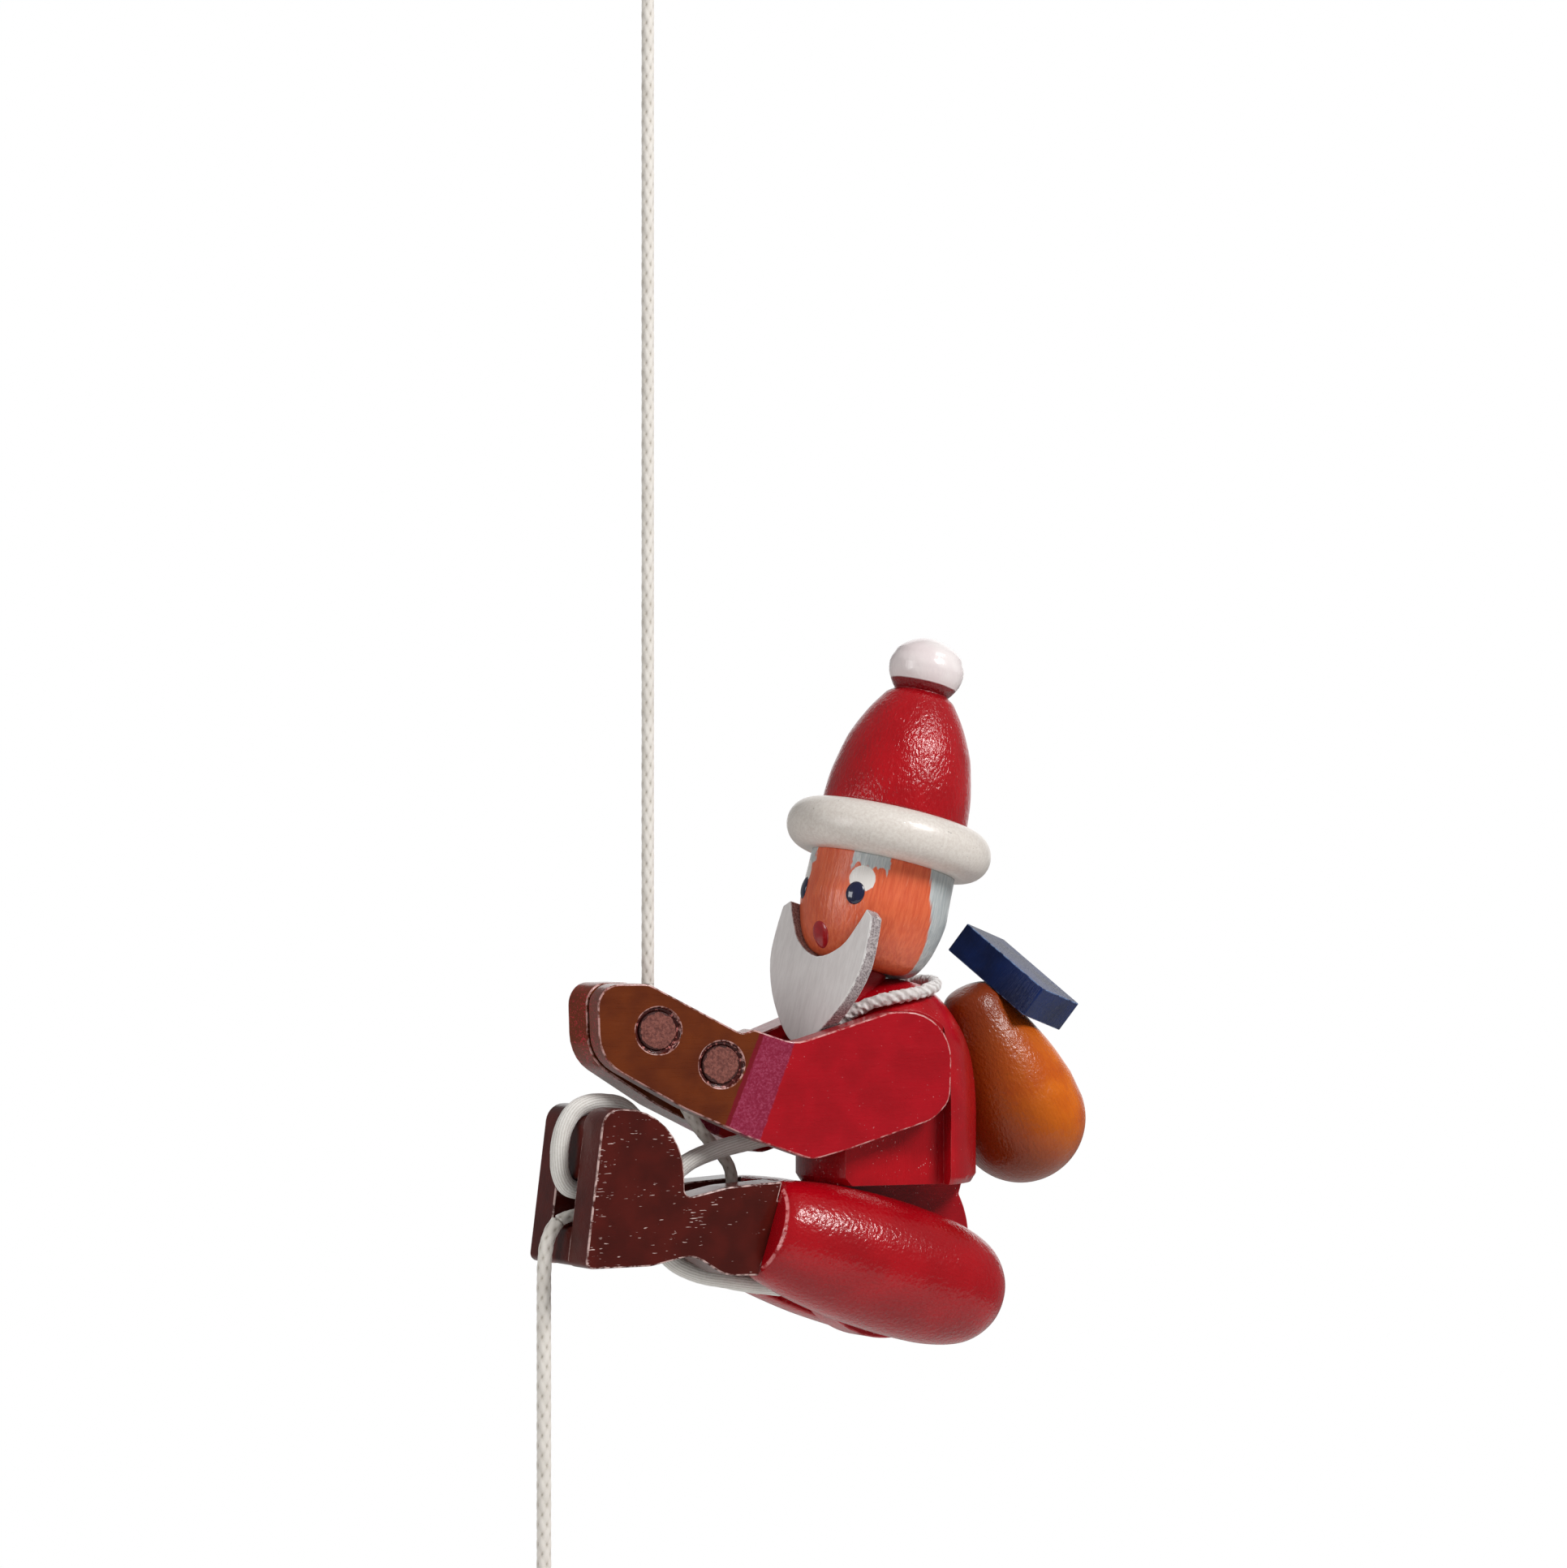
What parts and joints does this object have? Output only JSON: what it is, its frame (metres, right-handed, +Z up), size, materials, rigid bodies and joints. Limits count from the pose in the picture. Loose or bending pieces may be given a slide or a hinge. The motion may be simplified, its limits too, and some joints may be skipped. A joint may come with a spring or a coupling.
{
  "type": "climbing figure toy",
  "caption": "Painted wooden folk figure in a red coat that grips a hanging cord between its boots and arms and climbs as an elastic pulls up its hinged legs.",
  "frame": {"origin": "inside top of the hanging loop, where the hook bears", "axes": "+X to the figure's left, -Y the way the figure's hands and feet point, +Z up along the hanging cord"},
  "size_m": [0.0332, 0.1018, 0.2888],
  "materials": {
    "red_paint": "gloss paint over turned and sawn wood",
    "dark_red_paint": "gloss paint, darker",
    "white_paint": "satin paint with open pores",
    "skin_paint": "brushed satin paint",
    "grey_paint": "satin paint",
    "brown_paint": "gloss paint over red",
    "boot_paint": "gloss paint with open pores",
    "amber_stain": "gloss stain over wood grain",
    "blue_paint": "satin paint",
    "peg_wood": "stained dowel, bare end grain",
    "bare_wood": "bare dowel",
    "cord": "braided cord",
    "elastic": "covered elastic"
  },
  "bodies": {
    "cord": {"hanging_loop": "cord", "loop_knot": "cord", "cord_upper": "cord"},
    "figure": {"torso": "red_paint", "neck": "dark_red_paint", "hip_plate": "dark_red_paint", "head": "skin_paint", "beard": "grey_paint", "hat_brim": "white_paint", "hat": "red_paint", "hat_dowel": "bare_wood", "collar_cord": "cord", "sack": "amber_stain", "sack_dowel": "bare_wood", "parcel": "blue_paint", "parcel_dowel": "bare_wood", "arm_left": "red_paint", "arm_right": "red_paint", "hand_peg_front": "peg_wood", "hand_peg_rear": "peg_wood", "elbow_peg": "peg_wood", "cord_middle": "cord", "elastic_span": "elastic"},
    "legs": {"hip_axle": "bare_wood", "thigh_left": "red_paint", "thigh_right": "red_paint", "boot_left": "boot_paint", "boot_right": "boot_paint", "toe_spacer": "boot_paint", "heel_spacer": "boot_paint", "elastic_loop": "elastic"},
    "pull_cord": {"cord_lower": "cord", "pull_bead": "red_paint", "end_knot": "cord"}
  },
  "joints": [
    {"name": "climb", "type": "slide", "parent": "cord", "child": "figure", "axis": [0, 0, 1], "range_m": [0, 0.12], "deforming": ["cord_upper"]},
    {"name": "hip", "type": "hinge", "parent": "figure", "child": "legs", "pos_m": [0, 0.0427, -0.22537], "axis": [1, 0, 0], "range_deg": [0, 35], "stiffness_Nm_per_rad": 0.03, "springref_deg": -22.92, "deforming": ["cord_middle", "elastic_span"]},
    {"name": "cord_swing", "type": "hinge", "parent": "legs", "child": "pull_cord", "pos_m": [0, -0.0155, -0.2158], "axis": [1, 0, 0], "range_deg": [-35, 0]}
  ],
  "couplings": [
    {"joint": "cord_swing", "follows": "hip", "ratio": -1}
  ]
}
